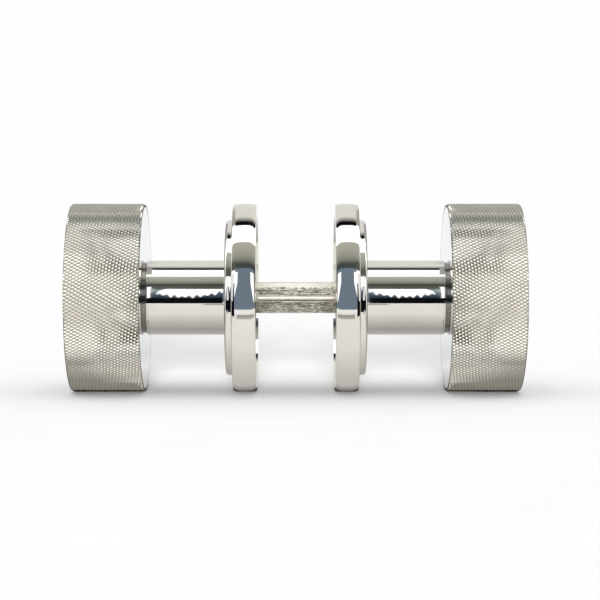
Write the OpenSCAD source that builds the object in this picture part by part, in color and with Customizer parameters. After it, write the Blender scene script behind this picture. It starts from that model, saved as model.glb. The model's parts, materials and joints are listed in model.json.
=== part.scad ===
// Mortice door-knob set: two knurled drum knobs on stepped concealed-fix roses,
// joined by one square spindle. Millimetres. X runs along the spindle, Z is up.
// The origin is the middle of the spindle.

/* [Knob head] */
// Outside diameter over the knurl
head_d = 60; // [45:0.5:70]
// Length of the drum along X
head_len = 23.3; // [15:0.1:35]
// Distance from the middle to the drum's inner face
head_x = 48; // [40:0.5:60]
// Chamfer at both ends of the drum
head_chamfer = 0.8; // [0.3:0.1:2]

/* [Neck] */
// Diameter of the polished neck
neck_d = 23.8; // [18:0.2:30]
// Diameter of the journal that runs in the bush
journal_d = 18; // [14:0.5:22]
// Diameter of the spigot inside the head
spigot_d = 20; // [16:0.5:22]
// Length of the spigot inside the head
spigot_len = 10; // [6:0.5:14]
// Width of the relief groove at the head
relief_w = 0.8; // [0.4:0.1:2]
// Depth of the relief groove at the head
relief_depth = 0.6; // [0.2:0.1:1]

/* [Rose] */
// Largest diameter of the crowned rim
rose_d = 60; // [50:0.2:70]
// Distance from the middle to the door side of the rose
rose_x = 12.4; // [8:0.1:30]
// Thickness of the rim
rim_t = 7.5; // [5:0.1:12]
// How far the rim's crown drops towards its edges
rim_crown = 0.45; // [0:0.05:1]
// Diameter of the thin front step
step_d = 49.6; // [35:0.2:56]
// Height of the front step
step_t = 2.3; // [1:0.1:4]
// Chamfer at the back of the rim
back_chamfer = 0.3; // [0.1:0.1:1.5]
// Radius of the hollow at the back of the rose
hollow_r = 26.3; // [24:0.1:28]
// How far the backplate sits inside that hollow
plate_inset = 1.6; // [0:0.1:2.5]
// Circle of the fixing screw holes
fixing_pcd = 38; // [36:0.5:40]
// Number of fixing screw holes
fixing_count = 2; // [2:1:4]
// Diameter of the fixing screw holes
fixing_d = 4.4; // [3:0.1:6]

/* [Spindle] */
// Size across the flats
spindle_af = 8; // [7:0.1:9]
// Full length
spindle_len = 90; // [70:1:110]
// Width of the chamfer on the four long edges
spindle_chamfer = 1; // [0.2:0.1:1.5]
// Turn of the bar: the front edge sits this far below level
spindle_turn = 1; // [0:0.1:45]

/* [Hidden] */
$fn = 96;
head_r = head_d / 2;
neck_r = neck_d / 2;
journal_r = journal_d / 2;
spigot_r = spigot_d / 2;
rose_r = rose_d / 2;
step_r = step_d / 2;
rim_x = rose_x + rim_t;
face_x = rim_x + step_t;
cover_wall = 1.3;
cover_bore_r = neck_r + 0.3;
plate_x = rose_x + plate_inset;
plate_r = hollow_r - 0.05;
foot_r = 4.2;
plate_t = 2.7;
boss_r = 14;
bush_r = 11;
socket_af = spindle_af + 0.1;
shoulder_x = rim_x + 0.35;
neck_end_x = plate_x - 0.4;
circlip_x = plate_x + 0.3;
washer_x = circlip_x + 1.05;
bush_x = washer_x + 0.8;
bush_flange_x = shoulder_x - 1.8;
socket_end_x = head_x - 1;
screw_seat_x = socket_end_x + 4.6;
spigot_end_x = head_x + spigot_len;
flat_angle = spindle_turn - 45;
grub_x = 29;
grub_r = 3;
grub_tip_r = spindle_af / 2 + 0.05;
grub_len = neck_r - 0.9 - grub_tip_r;

// a solid of revolution about X, profile points given as [x, radius]
module turned(points) {
    rotate([90, 0, 90]) rotate_extrude() polygon([for (p = points) [p[1], p[0]]]);
}

// a ring about X from x0 to x1
module ring(x0, x1, r_in, r_out) {
    turned([[x0, r_in], [x1, r_in], [x1, r_out], [x0, r_out]]);
}

// a plain round bar or hole about X
module bar(x0, x1, r) {
    translate([x0, 0, 0]) rotate([0, 90, 0]) cylinder(h = x1 - x0, r = r);
}

// a square prism along X with its edges at the spindle's angle
module square_bar(x0, x1, af) {
    rotate([spindle_turn + 45, 0, 0])
        translate([x0, -af / 2, -af / 2]) cube([x1 - x0, af, af]);
}

// moves a piece drawn along +Z onto the spindle flat the grub screw bears on
module on_flat(x) {
    translate([x, 0, 0]) rotate([flat_angle - 90, 0, 0]) children();
}

module spindle() {
    c = spindle_chamfer;
    a = spindle_af / 2;
    half = spindle_len / 2;
    color([0.62, 0.6, 0.55]) intersection() {
        rotate([spindle_turn + 45, 0, 0]) rotate([90, 0, 90]) translate([0, 0, -half])
            linear_extrude(height = spindle_len)
                polygon([[a, a - c], [a - c, a], [c - a, a], [-a, a - c],
                         [-a, c - a], [c - a, -a], [a - c, -a], [a, c - a]]);
        turned([[-half, 0], [-half, a], [2 * c - half, a + 2 * c],
                [half - 2 * c, a + 2 * c], [half, a], [half, 0]]);
    }
}

module knob_head() {
    c = head_chamfer;
    x1 = head_x + head_len;
    color([0.8, 0.79, 0.76]) difference() {
        turned([[head_x, 0], [head_x, head_r - c], [head_x + c, head_r],
                [x1 - c, head_r], [x1, head_r - c], [x1, 0]]);
        bar(head_x - 1, spigot_end_x + 0.1, spigot_r + 0.02);
        bar(spigot_end_x - 1, head_x + head_len - 3.5, 2);
        translate([0, 0, 7]) bar(spigot_end_x - 1, spigot_end_x + 4.3, 1.5);
    }
}

module neck() {
    groove_x = head_x - relief_w;
    color([0.8, 0.79, 0.76]) difference() {
        turned([[neck_end_x, 0], [neck_end_x, journal_r - 0.5], [neck_end_x + 0.5, journal_r],
                [circlip_x, journal_r], [circlip_x, journal_r - 0.8],
                [circlip_x + 1, journal_r - 0.8], [circlip_x + 1, journal_r],
                [shoulder_x, journal_r], [shoulder_x, neck_r],
                [groove_x, neck_r], [groove_x, neck_r - relief_depth],
                [head_x, neck_r - relief_depth], [head_x, spigot_r],
                [spigot_end_x - 0.5, spigot_r], [spigot_end_x, spigot_r - 0.5], [spigot_end_x, 0]]);
        square_bar(neck_end_x - 1, socket_end_x, socket_af);
        turned([[neck_end_x - 0.1, 0], [neck_end_x - 0.1, 6.6], [neck_end_x + 1.4, 5.1],
                [neck_end_x + 1.4, 0]]);
        bar(socket_end_x - 0.5, screw_seat_x, 3.8);
        bar(screw_seat_x - 0.5, spigot_end_x + 1, 2.15);
        translate([0, 0, 7]) bar(spigot_end_x - 4.3, spigot_end_x + 1, 1.5);
        on_flat(grub_x) cylinder(h = neck_r + 2, r = grub_r);
    }
}

module head_screw() {
    color([0.35, 0.35, 0.37]) difference() {
        turned([[screw_seat_x - 4, 0], [screw_seat_x - 4, 3.2], [screw_seat_x - 3.7, 3.5],
                [screw_seat_x, 3.5], [screw_seat_x, 1.95], [screw_seat_x + 13.6, 1.95],
                [screw_seat_x + 14, 1.5], [screw_seat_x + 14, 0]]);
        translate([screw_seat_x - 5, 0, 0]) rotate([0, 90, 0])
            cylinder(h = 3.2, r = 1.5 / cos(30), $fn = 6);
    }
}

module lock_pin() {
    color([0.6, 0.6, 0.6]) translate([0, 0, 7])
        turned([[spigot_end_x - 4, 0], [spigot_end_x - 4, 1.18], [spigot_end_x - 3.7, 1.48],
                [spigot_end_x + 3.7, 1.48], [spigot_end_x + 4, 1.18], [spigot_end_x + 4, 0]]);
}

module grub_screw() {
    color([0.3, 0.3, 0.32]) on_flat(grub_x) difference() {
        translate([0, 0, grub_tip_r]) rotate_extrude()
            polygon([[0, 0.4], [1.1, 0], [2, 0], [grub_r - 0.05, 0.95],
                     [grub_r - 0.05, grub_len - 0.4], [grub_r - 0.45, grub_len], [0, grub_len]]);
        translate([0, 0, grub_tip_r + grub_len - 3]) cylinder(h = 4, r = 1.5 / cos(30), $fn = 6);
    }
}

module rose_cover() {
    mid = rose_x + rim_t / 2;
    lip = 0.5;
    crown = [for (i = [0 : 12])
        let (x = rose_x + back_chamfer + (rim_t - back_chamfer - lip) * i / 12,
             t = (x - mid) / (rim_t / 2))
        [x, rose_r - rim_crown * pow(abs(t), 3.5)]];
    last = crown[12];
    color([0.8, 0.79, 0.76]) turned(concat(
        [[rose_x, hollow_r + 0.2], [rose_x, crown[0][1] - back_chamfer]],
        crown,
        [[last[0] + 0.15, last[1] - 0.1], [rim_x - 0.1, last[1] - 0.3], [rim_x, last[1] - 0.6],
         [rim_x, step_r], [face_x - 0.4, step_r], [face_x - 0.12, step_r - 0.12],
         [face_x, step_r - 0.4], [face_x, cover_bore_r + 0.3], [face_x - 0.3, cover_bore_r],
         [face_x - cover_wall, cover_bore_r], [face_x - cover_wall, step_r - 1.4],
         [rim_x - cover_wall, step_r - 1.4], [rim_x - cover_wall, hollow_r],
         [plate_x - 0.2, hollow_r]]));
}

// puts its children at each fixing hole
module at_fixings() {
    for (i = [0 : fixing_count - 1]) rotate([90 + i * 360 / fixing_count, 0, 0])
        translate([0, 0, fixing_pcd / 2]) children();
}

module backplate() {
    recess_r = boss_r - 1.2;
    front_x = plate_x + plate_t;
    color([0.66, 0.63, 0.55]) difference() {
        union() {
            turned([[plate_x, recess_r], [plate_x, plate_r - 0.5], [plate_x + 0.5, plate_r],
                    [plate_x + 0.8, plate_r], [plate_x + 0.8, plate_r - 0.9],
                    [plate_x + 2.2, plate_r - 0.9], [plate_x + 2.2, plate_r],
                    [front_x, plate_r], [front_x, boss_r],
                    [bush_flange_x - 0.05, boss_r], [bush_flange_x - 0.05, bush_r],
                    [bush_x - 0.05, bush_r], [bush_x - 0.05, recess_r]]);
            at_fixings() turned([[rose_x, 0], [rose_x, foot_r - 0.3], [rose_x + 0.3, foot_r],
                                 [plate_x + 0.5, foot_r], [plate_x + 0.5, 0]]);
        }
        at_fixings() {
            bar(rose_x - 1, front_x + 1, fixing_d / 2);
            turned([[front_x - 1.6, 0], [front_x - 1.6, fixing_d / 2],
                    [front_x + 0.1, fixing_d / 2 + 1.7], [front_x + 0.1, 0]]);
        }
    }
}

module grip_ring() {
    color([0.15, 0.15, 0.15]) rotate([90, 0, 90]) rotate_extrude()
        translate([plate_r - 0.44, plate_x + 1.5]) circle(r = 0.45);
}

module bush() {
    color([0.92, 0.91, 0.86])
        turned([[bush_x, journal_r + 0.06], [bush_flange_x + 0.8, journal_r + 0.06],
                [bush_flange_x + 0.8, bush_r + 1.6], [bush_flange_x, bush_r + 1.6],
                [bush_flange_x, bush_r - 0.02], [bush_x, bush_r - 0.02]]);
}

module thrust_washer() {
    color([0.75, 0.74, 0.7])
        ring(bush_flange_x + 0.85, shoulder_x - 0.05, journal_r + 0.1, neck_r - 0.1);
}

module retaining_washer() {
    color([0.75, 0.74, 0.7]) ring(washer_x, washer_x + 0.7, journal_r + 0.1, boss_r - 1.5);
}

module circlip() {
    gap = 5;
    color([0.25, 0.25, 0.27]) difference() {
        ring(circlip_x + 0.05, circlip_x + 0.95, journal_r - 0.75, journal_r + 1.6);
        translate([circlip_x - 1, -gap / 2, -journal_r - 4]) cube([3, gap, journal_r + 4]);
    }
    color([0.25, 0.25, 0.27]) for (s = [-1, 1]) difference() {
        translate([circlip_x + 0.05, s * 4.2, -journal_r - 1.3]) rotate([0, 90, 0])
            cylinder(h = 0.9, r = 1.6);
        translate([circlip_x - 1, s * 4.2, -journal_r - 1.3]) rotate([0, 90, 0])
            cylinder(h = 3, r = 0.7);
    }
}

module right_knob_head() { knob_head(); }
module right_neck() { neck(); }
module right_head_screw() { head_screw(); }
module right_lock_pin() { lock_pin(); }
module right_grub_screw() { grub_screw(); }
module right_rose_cover() { rose_cover(); }
module right_backplate() { backplate(); }
module right_grip_ring() { grip_ring(); }
module right_bush() { bush(); }
module right_thrust_washer() { thrust_washer(); }
module right_retaining_washer() { retaining_washer(); }
module right_circlip() { circlip(); }
module left_knob_head() { mirror([1, 0, 0]) knob_head(); }
module left_neck() { mirror([1, 0, 0]) neck(); }
module left_head_screw() { mirror([1, 0, 0]) head_screw(); }
module left_lock_pin() { mirror([1, 0, 0]) lock_pin(); }
module left_grub_screw() { mirror([1, 0, 0]) grub_screw(); }
module left_rose_cover() { mirror([1, 0, 0]) rose_cover(); }
module left_backplate() { mirror([1, 0, 0]) backplate(); }
module left_grip_ring() { mirror([1, 0, 0]) grip_ring(); }
module left_bush() { mirror([1, 0, 0]) bush(); }
module left_thrust_washer() { mirror([1, 0, 0]) thrust_washer(); }
module left_retaining_washer() { mirror([1, 0, 0]) retaining_washer(); }
module left_circlip() { mirror([1, 0, 0]) circlip(); }

spindle();
right_knob_head();
right_neck();
right_head_screw();
right_lock_pin();
right_grub_screw();
right_rose_cover();
right_backplate();
right_grip_ring();
right_bush();
right_thrust_washer();
right_retaining_washer();
right_circlip();
left_knob_head();
left_neck();
left_head_screw();
left_lock_pin();
left_grub_screw();
left_rose_cover();
left_backplate();
left_grip_ring();
left_bush();
left_thrust_washer();
left_retaining_washer();
left_circlip();
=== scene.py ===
"""Looks of the mortice door-knob set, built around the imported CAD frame.

Blender works in metres. Profiles and studio cards are written in millimetres and scaled by MM.
X runs along the spindle, Z is up, the camera looks along +Y.
"""
import json
import math

import bmesh
import bpy
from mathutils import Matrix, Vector

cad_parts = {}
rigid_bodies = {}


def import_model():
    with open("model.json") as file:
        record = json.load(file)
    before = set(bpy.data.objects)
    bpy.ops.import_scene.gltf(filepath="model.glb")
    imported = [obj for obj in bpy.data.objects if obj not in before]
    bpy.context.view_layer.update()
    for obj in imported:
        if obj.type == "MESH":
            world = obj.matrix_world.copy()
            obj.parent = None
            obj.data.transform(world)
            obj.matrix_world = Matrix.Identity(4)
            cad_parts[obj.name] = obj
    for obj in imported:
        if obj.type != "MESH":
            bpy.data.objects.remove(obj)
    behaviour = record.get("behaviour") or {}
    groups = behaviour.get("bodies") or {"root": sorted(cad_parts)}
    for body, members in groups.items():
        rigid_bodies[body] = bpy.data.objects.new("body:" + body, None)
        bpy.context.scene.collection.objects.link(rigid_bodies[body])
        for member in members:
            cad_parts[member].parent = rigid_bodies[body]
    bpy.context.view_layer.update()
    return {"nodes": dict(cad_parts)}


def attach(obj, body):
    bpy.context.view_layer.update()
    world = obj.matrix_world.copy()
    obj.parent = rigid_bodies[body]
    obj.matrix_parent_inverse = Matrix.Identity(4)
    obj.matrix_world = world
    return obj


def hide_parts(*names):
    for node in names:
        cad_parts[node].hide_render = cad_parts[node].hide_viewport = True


for old in list(bpy.data.objects):
    bpy.data.objects.remove(old)
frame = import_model()
MM = 0.001
SIDES = {"right": 1, "left": -1}

# sizes in millimetres, the same as the solids
HEAD_R, HEAD_X, HEAD_END = 30.0, 48.0, 71.3
NECK_R, ROSE_X, RIM_X, FACE_X = 11.9, 12.4, 19.9, 22.2
ROSE_R, STEP_R, HOLLOW_R, RIM_CROWN = 30.0, 24.8, 26.3, 0.45
SPINDLE_HALF, SPINDLE_A, SPINDLE_CUT = 45.0, 4.0, 1.0
SPINDLE_TURN = math.radians(1 + 45)
GRUB_X, GRUB_R = 29.0, 3.0
GRUB_TURN = math.radians(1 - 45)
FLOOR_Z = -30.0
# not in the solids
KNURL_DEPTH = 0.42
GROOVE_X = 47.15  # just short of the neck's relief groove, which is painted dark as shade
SEGMENTS = 256


# ---------------------------------------------------------------- meshes

def finish_mesh(bm, name, sharp=32):
    """bm becomes an object with smooth shading and its sharp edges marked."""
    mesh = bpy.data.meshes.new(name)
    bmesh.ops.recalc_face_normals(bm, faces=bm.faces)
    bm.to_mesh(mesh)
    bm.free()
    mesh.shade_smooth()
    mesh.set_sharp_from_angle(angle=math.radians(sharp))
    obj = bpy.data.objects.new(name, mesh)
    bpy.context.scene.collection.objects.link(obj)
    return obj


def arc(cx, cr, radius, start, end, steps):
    """Points (x, r) of an arc round (cx, cr), angles in degrees from +x towards +r."""
    out = []
    for i in range(steps + 1):
        a = math.radians(start + (end - start) * i / steps)
        out.append((cx + radius * math.cos(a), cr + radius * math.sin(a)))
    return out


def turned(name, profile, side, closed=False, sharp=32):
    """Surface of revolution about X from points (x, r) in millimetres, mirrored for the left side."""
    bm = bmesh.new()
    rings = []
    for x, r in profile:
        if r <= 1e-6:
            rings.append([bm.verts.new((side * x * MM, 0, 0))])
        else:
            turns = (2 * math.pi * i / SEGMENTS for i in range(SEGMENTS))
            rings.append([bm.verts.new((side * x * MM, -r * MM * math.cos(t), r * MM * math.sin(t)))
                          for t in turns])
    pairs = list(zip(rings, rings[1:]))
    if closed:
        pairs.append((rings[-1], rings[0]))
    for a, b in pairs:
        for i in range(SEGMENTS):
            j = (i + 1) % SEGMENTS
            corners = [a[i % len(a)], a[j % len(a)], b[j % len(b)], b[i % len(b)]]
            unique = list(dict.fromkeys(corners))
            if len(unique) > 2:
                bm.faces.new(unique)
    return finish_mesh(bm, name, sharp)


def knurl(name, side, x0, x1):
    """Diamond knurl cut by two families of helical V grooves, as real facets."""
    crest, valley, flat, chamfer = HEAD_R, HEAD_R - KNURL_DEPTH, 0.16, 0.45
    # grooves of each family: n crossed going round the head, f crossed per millimetre along it
    n1, n2 = 178, 158
    f1, f2 = 0.5435, 0.4603
    whole = f1 * n2 + f2 * n1
    length = x1 - x0
    turn = 2 * math.pi

    def place(a, b):
        return (a * n2 + b * n1) / whole, turn * (f2 * a - f1 * b) / whole

    bm = bmesh.new()
    corners = {}

    def put(x, t, r):
        return bm.verts.new((side * (x0 + x) * MM, -r * MM * math.cos(t), r * MM * math.sin(t)))

    def corner(i, j):
        turns = math.floor(place(i, j)[1] / turn + 1e-9)
        key = (i - turns * n1, j + turns * n2)
        if key not in corners:
            corners[key] = put(*place(*key), valley)
        return corners[key]

    low, high = -2.5, length + 2.5
    for i in range(-10, n1 + int(f1 * length) + 12):
        first = math.floor((low * whole - i * n2) / n1) - 1
        last = math.ceil((high * whole - i * n2) / n1) + 1
        for j in range(first, last + 1):
            x, t = place(i + 0.5, j + 0.5)
            if not (low < x < high and 0 <= t < turn):
                continue
            outer, inner = [], []
            for da, db in ((0, 0), (1, 0), (1, 1), (0, 1)):
                outer.append(corner(i + da, j + db))
                spot = place(i + 0.5 + (da - 0.5) * flat, j + 0.5 + (db - 0.5) * flat)
                inner.append(put(*spot, crest - 0.05))
            tip = put(x, t, crest)
            for k in range(4):
                after = (k + 1) % 4
                bm.faces.new((outer[k], outer[after], inner[after], inner[k]))
                bm.faces.new((inner[k], inner[after], tip))
    for x, keep in ((x0, 1), (x1, -1)):
        for inset, clear in ((0.0, True), (chamfer, False)):
            bmesh.ops.bisect_plane(
                bm, geom=bm.verts[:] + bm.edges[:] + bm.faces[:], dist=1e-7,
                plane_co=(side * (x + keep * inset) * MM, 0, 0), plane_no=(-keep * side, 0, 0),
                clear_outer=clear)
    for v in bm.verts:
        x = v.co.x / (side * MM)
        allowed = crest - max(0.0, chamfer - (x - x0), chamfer - (x1 - x))
        r = math.hypot(v.co.y, v.co.z) / MM
        if r > allowed:
            v.co.y *= allowed / r
            v.co.z *= allowed / r
    for x in (x0, x1):
        rim = [e for e in bm.edges if e.is_boundary
               and all(abs(v.co.x / (side * MM) - x) < 1e-3 for v in e.verts)]
        made = bmesh.ops.extrude_edge_only(bm, edges=rim)
        for v in (g for g in made["geom"] if isinstance(g, bmesh.types.BMVert)):
            r = math.hypot(v.co.y, v.co.z) / MM
            v.co.y *= (HEAD_R - 1.0) / r
            v.co.z *= (HEAD_R - 1.0) / r
    return finish_mesh(bm, name, 12)


def rose_profile():
    """The rose cover in section: crowned rim, rounded front step, chamfered back, hollow inside."""
    steps = 24
    half = (RIM_X - ROSE_X) / 2
    mid = ROSE_X + half
    first, last = ROSE_X + 0.3, RIM_X - 0.45
    rim = []
    for i in range(steps + 1):
        x = first + (last - first) * i / steps
        rim.append((x, ROSE_R - RIM_CROWN * abs((x - mid) / half) ** 3.5))
    back_r, front_r = rim[0][1], rim[-1][1]
    return ([(ROSE_X, HOLLOW_R + 0.2), (ROSE_X, back_r - 0.26), (ROSE_X + 0.08, back_r - 0.08)]
            + rim
            + arc(RIM_X - 0.45, front_r - 0.45, 0.45, 76, 0, 8)[1:]
            + [(RIM_X, STEP_R + 0.15), (RIM_X + 0.05, STEP_R + 0.04), (RIM_X + 0.15, STEP_R)]
            + arc(FACE_X - 0.95, STEP_R - 0.95, 0.95, 90, 0, 10)
            + [(FACE_X, NECK_R + 0.6), (FACE_X - 0.09, NECK_R + 0.39), (FACE_X - 0.3, NECK_R + 0.3),
               (FACE_X - 1.3, NECK_R + 0.3), (FACE_X - 1.3, STEP_R - 1.4),
               (RIM_X - 1.3, STEP_R - 1.4), (RIM_X - 1.6, HOLLOW_R), (ROSE_X + 1.4, HOLLOW_R)])


def neck_profile():
    """The neck in section, from the mouth of its socket to the root at the head."""
    return ([(15.0, 5.1), (13.6, 6.5), (13.6, 8.5), (14.1, 9.0), (14.3, 9.0), (14.3, 8.2), (15.3, 8.2),
             (15.3, 9.0), (20.25, 9.0), (20.25, NECK_R - 0.2), (20.45, NECK_R), (47.1, NECK_R)]
            + arc(47.08, NECK_R - 0.12, 0.12, 90, 0, 4)
            + [(47.2, 11.42), (47.32, 11.3), (48.1, 11.3), (48.1, 5.1)])


def cut_grub_hole(neck, side):
    """The tapped hole on the hidden side of the neck, cut with a plain round tool."""
    bm = bmesh.new()
    bmesh.ops.create_cone(bm, cap_ends=True, segments=64, radius1=GRUB_R * MM, radius2=GRUB_R * MM,
                          depth=14 * MM)
    tool = finish_mesh(bm, neck.name + "_tool")
    way = Vector((0, math.cos(GRUB_TURN), math.sin(GRUB_TURN)))
    tool.rotation_euler = (GRUB_TURN - math.pi / 2, 0, 0)
    tool.location = Vector((side * GRUB_X * MM, 0, 0)) + way * 11 * MM
    cut = neck.modifiers.new("grub_hole", "BOOLEAN")
    cut.operation, cut.solver, cut.object = "DIFFERENCE", "EXACT", tool
    bpy.context.view_layer.update()
    drilled = bpy.data.meshes.new_from_object(neck.evaluated_get(bpy.context.evaluated_depsgraph_get()))
    neck.modifiers.remove(cut)
    neck.data = drilled
    bpy.data.objects.remove(tool)
    drilled.shade_smooth()
    drilled.set_sharp_from_angle(angle=math.radians(32))


def spindle_bar():
    """The chamfered square bar, with each long edge slightly rounded and the ends pointed a little."""
    a, c, soft = SPINDLE_A, SPINDLE_CUT, 0.3
    sharp = [(a, c - a), (a, a - c), (a - c, a), (c - a, a),
             (-a, a - c), (-a, c - a), (c - a, -a), (a - c, -a)]
    outline, kinds = [], []
    for k, p in enumerate(sharp):
        before, after = Vector(sharp[k - 1]), Vector(sharp[(k + 1) % 8])
        p = Vector(p)
        start, end = p + (before - p).normalized() * soft, p + (after - p).normalized() * soft
        for s in (0, 1 / 3, 2 / 3, 1):
            outline.append((1 - s) ** 2 * start + 2 * s * (1 - s) * p + s * s * end)
            kinds.append(1 if s < 1 else k % 2)
    bm = bmesh.new()
    stations = [(-SPINDLE_HALF, 0.76)] + [(-SPINDLE_HALF + 1.4, 1.0)]
    stations += [(-SPINDLE_HALF + 1.4 + (SPINDLE_HALF - 1.4) * 2 * i / 30, 1.0) for i in range(1, 31)]
    stations += [(SPINDLE_HALF, 0.76)]
    rings = []
    for x, scale in stations:
        ring = []
        for p in outline:
            q = p * scale
            y = q.x * math.cos(SPINDLE_TURN) - q.y * math.sin(SPINDLE_TURN)
            z = q.x * math.sin(SPINDLE_TURN) + q.y * math.cos(SPINDLE_TURN)
            ring.append(bm.verts.new((x * MM, y * MM, z * MM)))
        rings.append(ring)
    n = len(outline)
    for low, high in zip(rings, rings[1:]):
        for i in range(n):
            face = bm.faces.new((low[i], low[(i + 1) % n], high[(i + 1) % n], high[i]))
            face.material_index = kinds[i]
    bm.faces.new(rings[0])
    bm.faces.new(rings[-1])
    return finish_mesh(bm, "square_spindle", 25)


# ---------------------------------------------------------------- materials

class Shader:
    """Short names for building one node material."""

    def __init__(self, name):
        self.material = bpy.data.materials.new(name)
        self.material.use_nodes = True
        self.tree = self.material.node_tree
        self.surface = self.tree.nodes["Principled BSDF"]
        self.place = self.add("ShaderNodeTexCoord").outputs["Object"]

    def add(self, kind, **settings):
        node = self.tree.nodes.new(kind)
        for key, value in settings.items():
            setattr(node, key, value)
        return node

    def feed(self, source, target):
        self.tree.links.new(source, target)

    def stretched(self, scale, turn=(0, 0, 0)):
        node = self.add("ShaderNodeMapping")
        node.inputs["Scale"].default_value = scale
        node.inputs["Rotation"].default_value = turn
        self.feed(self.place, node.inputs["Vector"])
        return node.outputs["Vector"]

    def noise(self, scale, vector=None, detail=4.0, rough=0.55):
        node = self.add("ShaderNodeTexNoise")
        node.inputs["Scale"].default_value = scale
        node.inputs["Detail"].default_value = detail
        node.inputs["Roughness"].default_value = rough
        self.feed(vector or self.place, node.inputs["Vector"])
        return node.outputs["Fac"]

    def spread(self, value, low, high, to_low=0.0, to_high=1.0):
        node = self.add("ShaderNodeMapRange")
        for key, number in (("From Min", low), ("From Max", high),
                            ("To Min", to_low), ("To Max", to_high)):
            node.inputs[key].default_value = number
        self.feed(value, node.inputs["Value"])
        return node.outputs["Result"]

    def ramp(self, value, *stops):
        node = self.add("ShaderNodeValToRGB")
        ramp = node.color_ramp
        for k, (at, colour) in enumerate(stops):
            stop = ramp.elements[k] if k < 2 else ramp.elements.new(at)
            stop.position = at
            stop.color = (*colour, 1)
        self.feed(value, node.inputs["Fac"])
        return node.outputs["Color"]

    def blend(self, factor, first, second, mode="MIX"):
        """Two colours mixed by factor, which is a number or another node's output."""
        node = self.add("ShaderNodeMix", data_type="RGBA", blend_type=mode)
        if isinstance(factor, float):
            node.inputs["Factor"].default_value = factor
        else:
            self.feed(factor, node.inputs["Factor"])
        self.feed(first, node.inputs[6])
        self.feed(second, node.inputs[7])
        return node.outputs[2]

    def sum(self, first, second, kind="ADD"):
        node = self.add("ShaderNodeMath", operation=kind)
        self.feed(first, node.inputs[0])
        self.feed(second, node.inputs[1])
        return node.outputs[0]

    def radius(self):
        """Distance from the spindle's axis."""
        flatten = self.add("ShaderNodeVectorMath", operation="MULTIPLY")
        flatten.inputs[1].default_value = (0, 1, 1)
        self.feed(self.place, flatten.inputs[0])
        length = self.add("ShaderNodeVectorMath", operation="LENGTH")
        self.feed(flatten.outputs[0], length.inputs[0])
        return length.outputs["Value"]

    def along(self, direction):
        dot = self.add("ShaderNodeVectorMath", operation="DOT_PRODUCT")
        dot.inputs[1].default_value = direction
        self.feed(self.place, dot.inputs[0])
        return dot.outputs["Value"]

    def bump(self, height, strength, distance):
        node = self.add("ShaderNodeBump")
        node.inputs["Strength"].default_value = strength
        node.inputs["Distance"].default_value = distance
        self.feed(height, node.inputs["Height"])
        self.feed(node.outputs["Normal"], self.surface.inputs["Normal"])

    def set(self, **values):
        for key, value in values.items():
            self.surface.inputs[key.replace("_", " ")].default_value = value


def polished(name, light, dark, smooth=0.035, worn=0.085):
    """Plated and mirror polished: faint lathe lines, hairline scratches and handling haze."""
    s = Shader(name)
    s.set(Metallic=1.0)
    haze = s.noise(55, detail=5)
    lines = s.noise(1, s.stretched((5200, 60, 60)), detail=2)
    hairs = s.noise(1, s.stretched((350, 2600, 90), (0.5, 0.3, 0.9)), detail=2)
    s.feed(s.ramp(haze, (0.32, dark), (0.62, light)), s.surface.inputs["Base Color"])
    s.feed(s.spread(haze, 0.35, 0.75, smooth, worn), s.surface.inputs["Roughness"])
    s.bump(s.sum(lines, hairs), 0.012, 0.00002)
    return s.material


def knurled(name):
    """Darker in the grooves as painted shade, brightest at the tips."""
    s = Shader(name)
    s.set(Metallic=1.0)
    depth = s.spread(s.radius(), (HEAD_R - KNURL_DEPTH) * MM, HEAD_R * MM)
    blotch = s.noise(140, detail=6)
    # painted shade: dark in the valleys, lightening towards the tips with distance from the axis
    groove = s.ramp(depth, (0.0, (0.30, 0.285, 0.25)), (0.30, (0.82, 0.805, 0.765)),
                    (0.8, (0.99, 0.975, 0.945)))
    tint = s.ramp(blotch, (0.3, (0.9, 0.885, 0.855)), (0.7, (1.0, 0.99, 0.97)))
    s.feed(s.blend(1.0, groove, tint, "MULTIPLY"), s.surface.inputs["Base Color"])
    s.feed(s.spread(depth, 0.0, 1.0, 0.28, 0.10), s.surface.inputs["Roughness"])
    s.bump(s.noise(2600, detail=3), 0.08, 0.00003)
    return s.material


def drawn_steel(name, edge):
    """Cold drawn bar: lengthwise grain, pits and warm blotches. The edges get a plain light colour and less
    roughness; the flats carry a painted highlight towards one side across the bar.
    """
    s = Shader(name)
    s.set(Metallic=1.0)
    grain = s.noise(1, s.stretched((260, 2300, 2300)), detail=4)
    pits = s.noise(1, s.stretched((900, 1500, 1500)), detail=6, rough=0.7)
    blotch = s.noise(160, detail=5)
    if edge:
        colour = s.ramp(blotch, (0.3, (0.74, 0.71, 0.64)), (0.7, (0.92, 0.89, 0.82)))
        s.feed(s.spread(grain, 0.3, 0.7, 0.22, 0.36), s.surface.inputs["Roughness"])
    else:
        ground = s.ramp(s.sum(grain, pits, "MULTIPLY"), (0.17, (0.08, 0.075, 0.06)),
                        (0.25, (0.42, 0.40, 0.34)), (0.33, (0.84, 0.81, 0.72)))
        # painted highlight: past a wavy line, the flats turn to this bright colour towards one side across
        # the bar
        bright = s.ramp(blotch, (0.3, (0.88, 0.85, 0.75)), (0.7, (1.0, 0.97, 0.88)))
        a = SPINDLE_TURN
        across = s.along((0, math.cos(a), math.sin(a)))
        wavy = s.sum(across, s.spread(pits, 0.3, 0.7, -0.0009, 0.0009))
        band = s.spread(wavy, 0.0004, 0.0010)
        colour = s.blend(band, ground, bright)
        s.feed(s.spread(grain, 0.3, 0.7, 0.34, 0.52), s.surface.inputs["Roughness"])
    s.feed(colour, s.surface.inputs["Base Color"])
    s.bump(s.sum(grain, pits), 0.35, 0.00005)
    return s.material


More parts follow.
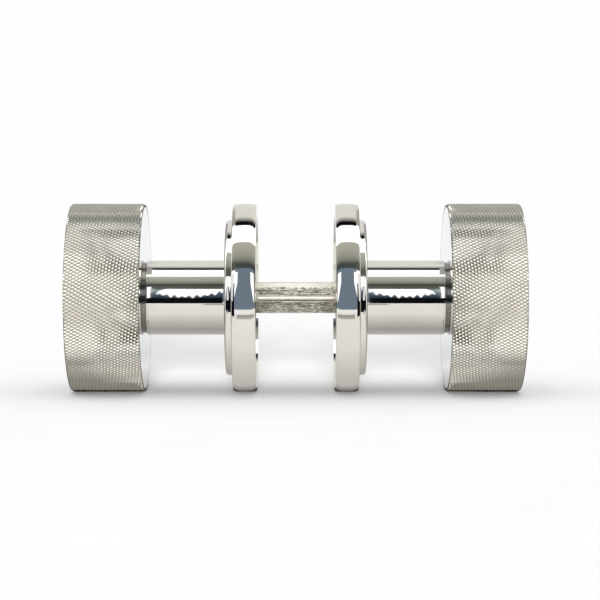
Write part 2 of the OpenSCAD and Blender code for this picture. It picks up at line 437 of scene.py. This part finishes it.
def machined(name, light, dark, rough=(0.25, 0.42)):
    """Small machined or pressed pieces: turning marks, stains."""
    s = Shader(name)
    s.set(Metallic=1.0)
    rings = s.noise(1, s.stretched((3800, 3800, 500)), detail=3)
    stain = s.noise(900, detail=5)
    s.feed(s.ramp(stain, (0.3, dark), (0.66, light)), s.surface.inputs["Base Color"])
    s.feed(s.spread(rings, 0.3, 0.7, *rough), s.surface.inputs["Roughness"])
    s.bump(s.sum(rings, stain), 0.2, 0.00004)
    return s.material


def brass_back(name):
    """Turned brass plate: concentric tool marks round the spindle, some tarnish."""
    s = Shader(name)
    s.set(Metallic=1.0)
    wave = s.add("ShaderNodeMath", operation="SINE")
    s.feed(s.spread(s.radius(), 0.0, 0.001, 0.0, 21.0), wave.inputs[0])
    tarnish = s.noise(170, detail=6)
    s.feed(s.ramp(tarnish, (0.32, (0.36, 0.31, 0.22)), (0.66, (0.68, 0.62, 0.48))),
           s.surface.inputs["Base Color"])
    s.feed(s.spread(tarnish, 0.3, 0.7, 0.46, 0.28), s.surface.inputs["Roughness"])
    s.bump(s.sum(wave.outputs[0], tarnish), 0.15, 0.00003)
    return s.material


def moulded(name, light, dark, rough=0.5):
    """Moulded plastic or rubber: fine grain, slightly cloudy colour."""
    s = Shader(name)
    grain = s.noise(3200, detail=3)
    cloud = s.noise(220, detail=4)
    s.feed(s.ramp(cloud, (0.3, dark), (0.7, light)), s.surface.inputs["Base Color"])
    s.feed(s.spread(grain, 0.3, 0.7, rough - 0.08, rough + 0.1), s.surface.inputs["Roughness"])
    s.bump(grain, 0.15, 0.00003)
    return s.material


NICKEL = polished("polished_nickel", (0.785, 0.765, 0.73), (0.745, 0.725, 0.69))
# the heads' flat faces: the same nickel, cooler and a little darker, as a painted reflection tint
FACE = polished("head_face_nickel", (0.735, 0.75, 0.775), (0.695, 0.71, 0.735), 0.05, 0.09)
KNURL = knurled("knurled_nickel")
STEEL = drawn_steel("drawn_steel", False)
EDGE = drawn_steel("drawn_steel_edges", True)
BRASS = brass_back("turned_brass")
ZINC = machined("zinc_plate", (0.70, 0.70, 0.71), (0.52, 0.52, 0.54))
SPRING = machined("spring_steel", (0.17, 0.17, 0.19), (0.08, 0.08, 0.09))
BLACK = machined("black_oxide", (0.12, 0.12, 0.13), (0.05, 0.05, 0.055), (0.3, 0.5))
# a dark metal for the neck's relief groove: painted shade in the groove, with random stains
GROOVE = machined("neck_groove_painted_shade", (0.34, 0.33, 0.31), (0.15, 0.145, 0.135), (0.12, 0.22))
NYLON = moulded("nylon", (0.86, 0.85, 0.80), (0.76, 0.75, 0.69))
RUBBER = moulded("rubber", (0.05, 0.05, 0.05), (0.02, 0.02, 0.02), 0.65)

# ---------------------------------------------------------------- the object

spindle = spindle_bar()
spindle.data.materials.append(STEEL)
spindle.data.materials.append(EDGE)
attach(spindle, "spindle")
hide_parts("spindle")

for side_name, side in SIDES.items():
    knob, rose = side_name + "_knob", side_name + "_rose"
    head = knurl(side_name + "_knurled_head", side, HEAD_X, HEAD_END)
    faces = turned(side_name + "_head_faces",
                   [(HEAD_X, NECK_R - 0.7), (HEAD_X, HEAD_R - 0.5), (HEAD_X + 0.4, HEAD_R - 0.7),
                    (HEAD_END - 0.4, HEAD_R - 0.7), (HEAD_END, HEAD_R - 0.5), (HEAD_END, 0)], side)
    neck = turned(side_name + "_polished_neck", neck_profile(), side, closed=True)
    cut_grub_hole(neck, side)
    cover = turned(side_name + "_stepped_rose", rose_profile(), side, closed=True)
    for obj, body, slot, node, material in (
            (head, knob, "knurled_head", "_knob_head", KNURL),
            (faces, knob, "knurled_head", None, FACE),
            (neck, knob, "polished_neck", "_neck", NICKEL),
            (cover, side_name + "_cover", "polished_rose", "_rose_cover", NICKEL)):
        obj.data.materials.append(material)
        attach(obj, body)
        if node:
            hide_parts(side_name + node)
    # the faces in the relief groove take the painted groove shade
    neck.data.materials.append(GROOVE)
    for face in neck.data.polygons:
        if abs(face.center.x) > GROOVE_X * MM:
            face.material_index = 1
    for node, material in (
            ("_backplate", BRASS), ("_grip_ring", RUBBER), ("_bush", NYLON), ("_thrust_washer", ZINC),
            ("_retaining_washer", ZINC), ("_circlip", SPRING), ("_lock_pin", ZINC),
            ("_head_screw", BLACK), ("_grub_screw", BLACK)):
        cad = frame["nodes"][side_name + node]
        cad.data.materials.clear()
        cad.data.materials.append(material)
        cad.data.shade_smooth()
        cad.data.set_sharp_from_angle(angle=math.radians(30))


# ---------------------------------------------------------------- studio

def emitter(name, low, high, strength, axis, heads=None):
    """A glow that runs from colour low to colour high along one of the card's own axes.

    heads is the same pair of colours for the parts of the card in line with the two heads.
    """
    material = bpy.data.materials.new(name)
    material.use_nodes = True
    tree = material.node_tree
    tree.nodes.clear()
    place = tree.nodes.new("ShaderNodeTexCoord")
    split = tree.nodes.new("ShaderNodeSeparateXYZ")
    tree.links.new(place.outputs["Generated"], split.inputs[0])

    def run(colours):
        ramp = tree.nodes.new("ShaderNodeValToRGB")
        for stop, colour in zip(ramp.color_ramp.elements, colours):
            stop.color = (*colour, 1)
        tree.links.new(split.outputs[axis], ramp.inputs["Fac"])
        return ramp.outputs["Color"]

    colour = run((low, high))
    if heads:
        apart = tree.nodes.new("ShaderNodeSeparateXYZ")
        tree.links.new(place.outputs["Object"], apart.inputs[0])
        distance = tree.nodes.new("ShaderNodeMath")
        distance.operation = "ABSOLUTE"
        tree.links.new(apart.outputs["X"], distance.inputs[0])
        fade = tree.nodes.new("ShaderNodeMapRange")
        fade.inputs["From Min"].default_value = HEAD_X * MM
        fade.inputs["From Max"].default_value = (HEAD_X + 12) * MM
        tree.links.new(distance.outputs[0], fade.inputs["Value"])
        mix = tree.nodes.new("ShaderNodeMix")
        mix.data_type = "RGBA"
        tree.links.new(fade.outputs["Result"], mix.inputs["Factor"])
        tree.links.new(colour, mix.inputs[6])
        tree.links.new(run(heads), mix.inputs[7])
        colour = mix.outputs[2]
    glow = tree.nodes.new("ShaderNodeEmission")
    glow.inputs["Strength"].default_value = strength
    tree.links.new(colour, glow.inputs["Color"])
    out = tree.nodes.new("ShaderNodeOutputMaterial")
    tree.links.new(glow.outputs["Emission"], out.inputs["Surface"])
    return material


def card(name, points, low, high=None, strength=1.0, axis="Y", heads=None):
    """A flat studio card through the given corners in millimetres, seen only in reflections.

    Its colour runs from low to high along axis.
    """
    mesh = bpy.data.meshes.new(name)
    mesh.from_pydata([Vector(p) * MM for p in points], [], [range(len(points))])
    obj = bpy.data.objects.new(name, mesh)
    bpy.context.scene.collection.objects.link(obj)
    mesh.materials.append(emitter(name, low, high or low, strength, axis, heads))
    obj.visible_camera = False
    obj.visible_diffuse = False
    obj.visible_shadow = False
    obj.visible_transmission = False
    obj.visible_volume_scatter = False


def floor_plane():
    mesh = bpy.data.meshes.new("floor")
    r, z = 40.0, (FLOOR_Z - 0.02) * MM
    mesh.from_pydata([(-r, -r, z), (r, -r, z), (r, r, z), (-r, r, z)], [], [(0, 1, 2, 3)])
    obj = bpy.data.objects.new("floor", mesh)
    bpy.context.scene.collection.objects.link(obj)
    s = Shader("white_table")
    s.set(Roughness=0.8, Specular_IOR_Level=0.0)
    s.feed(s.ramp(s.noise(30), (0.3, (0.415, 0.415, 0.413)), (0.7, (0.425, 0.425, 0.425))),
           s.surface.inputs["Base Color"])
    mesh.materials.append(s.material)


floor_plane()
WHITE, BLUE, DARK = (1, 1, 1), (0.185, 0.245, 0.315), (0.004, 0.004, 0.006)
TOP, WIDE, FRONT = 200, 900, -400
# the cards lying on the table, each kind a little above the one before
EDGE_Z, TABLE_Z, STRIP_Z, CONTACT_Z, SPINDLE_Z = (FLOOR_Z + lift for lift in (0.2, 0.25, 0.3, 0.4, 0.5))


def level(name, y0, y1, z, low, high=None, strength=1.0, x0=-WIDE, x1=WIDE, heads=None):
    """A level card. Its colour runs from low at y0 to high at y1."""
    corners = [(x0, y0, z), (x1, y0, z), (x1, y1, z), (x0, y1, z)]
    card(name, corners, low, high, strength, heads=heads)


def upright(name, outline, y, low, high=None, strength=1.0):
    """An upright card facing the set. outline is a list of (x, z)."""
    card(name, [(x, y, z) for x, z in outline], low, high, strength, "Z")


def panel(name, x0, x1, z0, z1, y, low, high=None, strength=1.0):
    """An upright oblong card."""
    upright(name, [(x0, z0), (x1, z0), (x1, z1), (x0, z1)], y, low, high, strength)


level("softbox", -75, 18, TOP, WHITE, strength=1.7)
level("softbox_edge", 18, 44, TOP, DARK)
level("tent_dim", 44, 84, TOP, (0.07, 0.07, 0.06), (0.86, 0.86, 0.81))
level("tent_top", 84, 900, TOP, (0.88, 0.88, 0.835), (0.76, 0.765, 0.76))
# the tent's front slopes up from the softbox towards the camera and gets darker on the way
GREY, SHADE = (0.54, 0.545, 0.475), (0.066, 0.083, 0.078)
card("tent_front", [(-WIDE, -75, TOP), (WIDE, -75, TOP), (WIDE, FRONT - 40, 420), (-WIDE, FRONT - 40, 420)],
     SHADE, GREY)
panel("tent_lower_front", -WIDE, WIDE, 262, 425, FRONT - 40, SHADE)
panel("room_beyond", -300, 300, -140, 312, FRONT - 2, BLUE)
for sign in (1, -1):
    # white flaps, with the room beyond showing between them through a window that widens downwards
    flap = [(80, 264), (75, 150), (106, 95), (144, 46), (186, 6), (222, -22), (240, -22), (240, 264)]
    upright("flap", [(sign * x, z) for x, z in flap], FRONT, WHITE, strength=1.5)
    panel("flap_edge", sign * 240, sign * WIDE, -140, 264, FRONT, (0.22, 0.22, 0.21), (0.34, 0.34, 0.32))
    # a small reflector close in front of each neck, with a ragged lower edge
    edge = [(24 + 22 * k / 18, 1.2 + 1.2 * math.sin(2.1 * k) + 5.2 * (k % 2) + 32 * (k / 18 - 0.55) ** 2)
            for k in range(19)]
    edge += [(45.2, 16), (43, 20.6), (24, 20.6)]
    upright("reflector", [(sign * x, z) for x, z in edge], -42, WHITE, strength=1.5)
    for name, low, high, depth, colour, upper in (
            ("reflector_back", -1, 11, -42.6, (0.006, 0.012, 0.022), (0.10, 0.15, 0.21)),
            ("reflector_foot", -9.2, 1.1, -42.3, DARK, DARK),
            ("reflector_head", 20.6, 30, -42, (0.11, 0.115, 0.10), (0.11, 0.115, 0.10))):
        panel(name, sign * 24, sign * 52, low, high, depth, colour, upper)
    # a last narrow white beside the groove
    panel("reflector_end", sign * 47.9, sign * 49.6, 1.5, 26, -41.8, WHITE, strength=1.7)
    # the same white over black for the thin front step of the rose
    for name, low, high, colour in (("step_reflector", 0.4, 11, WHITE), ("step_foot", -4.5, 0.4, DARK)):
        panel(name, sign * 20.3, sign * 22.4, low, high, -31.5, colour)
    # a stack of fills close in front of each knurled head, brightest about the middle
    for low, high, below, above in ((-28, -20, 0.36, 0.50), (-20, -10, 0.70, 1.30), (-10, 8, 1.50, 1.50),
                                    (8, 40, 1.00, 0.90), (40, 75, 0.45, 0.35)):
        panel("fill", sign * 51, sign * 110, low, high, -45,
              (below, below, 0.96 * below), (above, above, 0.96 * above))
    # a narrow one closer still, for the facets that face the neck
    panel("inner_fill", sign * 49, sign * 53.4, -22, -1, -36, (0.50, 0.50, 0.48), (0.90, 0.89, 0.85))
    # the heads are lit more from above and less from behind than the pieces between them
    near, far = sorted((sign * 64, sign * 400))
    level("head_front", -110, -70, TOP - 1, (0.5, 0.5, 0.46), x0=near, x1=far)
    level("head_softbox", -70, 30, TOP - 1, WHITE, strength=2.6, x0=near, x1=far)
    panel("head_background", near, far, -29, 190, 150, (0.28, 0.28, 0.265), (0.46, 0.46, 0.435))
    level("head_surround", 30, 300, TOP - 1, (0.40, 0.40, 0.37), (0.75, 0.75, 0.70), x0=near, x1=far)
    # a grey close over each head, so that the knurl along its top doesn't catch the softbox
    near, far = sorted((sign * 47, sign * 86))
    level("head_shade", -14, 4, 33, (0.42, 0.42, 0.40), x0=near, x1=far)
    # the dark under the heads and the roses where they stand on the table: painted contact shadow, as the
    # pieces see it in reflections
    near, far = sorted((sign * 48, sign * 86))
    level("head_contact_front", -17, -7, CONTACT_Z, (0.32, 0.31, 0.29), (0.20, 0.195, 0.18), x0=near, x1=far)
    level("head_contact", -7, 7, CONTACT_Z, DARK, x0=near, x1=far)
    near, far = sorted((sign * 11, sign * 21))
    pale, deep = (0.62, 0.61, 0.58), (0.09, 0.09, 0.08)
    level("rose_contact_front", -11, -5, CONTACT_Z, pale, deep, x0=near, x1=far)
    level("rose_contact", -5, 5, CONTACT_Z, DARK, x0=near, x1=far)
    level("rose_contact_back", 5, 11, CONTACT_Z, deep, pale, x0=near, x1=far)
level("strip", -110, -87, STRIP_Z, (0.32, 0.31, 0.28), (0.60, 0.58, 0.54), x0=-33, x1=33)
# the table as the pieces see it, with painted shade, darkest where they stand on it
FAR_TABLE, MID_TABLE, CONTACT = (1.02, 1.0, 0.96), (0.97, 0.945, 0.90), (0.44, 0.43, 0.41)
HEAD_FAR, HEAD_MID, HEAD_CONTACT = (0.75, 0.74, 0.70), (0.48, 0.47, 0.44), (0.08, 0.075, 0.07)
BACK_TABLE = (0.88, 0.87, 0.85)
level("table_far", -93, -34, TABLE_Z, FAR_TABLE, MID_TABLE, heads=(HEAD_FAR, HEAD_MID))
level("table_near", -34, 0, TABLE_Z, MID_TABLE, CONTACT, heads=(HEAD_MID, HEAD_CONTACT))
level("table_behind", 0, 93, TABLE_Z, CONTACT, BACK_TABLE, heads=(HEAD_CONTACT, BACK_TABLE))
# light above and shade below along the front edge of the spindle, and a bright table under it
for name, low, high, colour, upper in (("spindle_glint", -0.8, 2, (0.95, 0.93, 0.86), (1.85, 1.80, 1.68)),
                                       ("spindle_shade", -5.5, -0.8, (0.05, 0.05, 0.045), None)):
    panel(name, -12.2, 12.2, low, high, -8, colour, upper)
level("spindle_table", -14, 14, SPINDLE_Z, (0.95, 0.93, 0.88), x0=-10, x1=10)
level("table_edge", -165, -124, EDGE_Z, WHITE, strength=1.08)
level("under_table", -900, -165, EDGE_Z, BLUE)


def backdrop():
    """White all round and brighter overhead, which keeps the shadows on the table soft."""
    world = bpy.data.worlds.new("studio")
    bpy.context.scene.world = world
    world.use_nodes = True
    tree = world.node_tree
    place = tree.nodes.new("ShaderNodeTexCoord")
    split = tree.nodes.new("ShaderNodeSeparateXYZ")
    ramp = tree.nodes.new("ShaderNodeValToRGB")
    for k, (at, grey) in enumerate(((0.0, 0.98), (0.03, 0.985), (0.2, 0.98), (0.6, 1.7))):
        stop = ramp.color_ramp.elements[k] if k < 2 else ramp.color_ramp.elements.new(at)
        stop.position = at
        stop.color = (grey, grey, grey, 1)
    tree.links.new(place.outputs["Generated"], split.inputs[0])
    tree.links.new(split.outputs["Z"], ramp.inputs["Fac"])
    tree.links.new(ramp.outputs["Color"], tree.nodes["Background"].inputs["Color"])


backdrop()
# neither light is seen in reflections
for name, strength, spread_deg, elevation in (("overhead", 0.9, 60, 78), ("front", 9.0, 8, 10)):
    light = bpy.data.lights.new(name, "SUN")
    light.energy, light.angle = strength, math.radians(spread_deg)
    light_obj = bpy.data.objects.new(name, light)
    light_obj.rotation_euler = (math.radians(90 - elevation), 0, 0)
    light_obj.visible_glossy = False
    bpy.context.scene.collection.objects.link(light_obj)

scene = bpy.context.scene
scene.view_settings.view_transform = "Standard"
camera = bpy.data.cameras.new("camera")
camera.lens, camera.sensor_width = 126.7, 36
camera.shift_x, camera.shift_y = 0.007, -0.004
camera.clip_start, camera.clip_end = 0.01, 20
camera_obj = bpy.data.objects.new("camera", camera)
distance, tilt = 0.675, math.radians(3.0)
camera_obj.location = (0, -distance * math.cos(tilt), distance * math.sin(tilt))
camera_obj.rotation_euler = (math.pi / 2 - tilt, 0, 0)
scene.collection.objects.link(camera_obj)
scene.camera = camera_obj
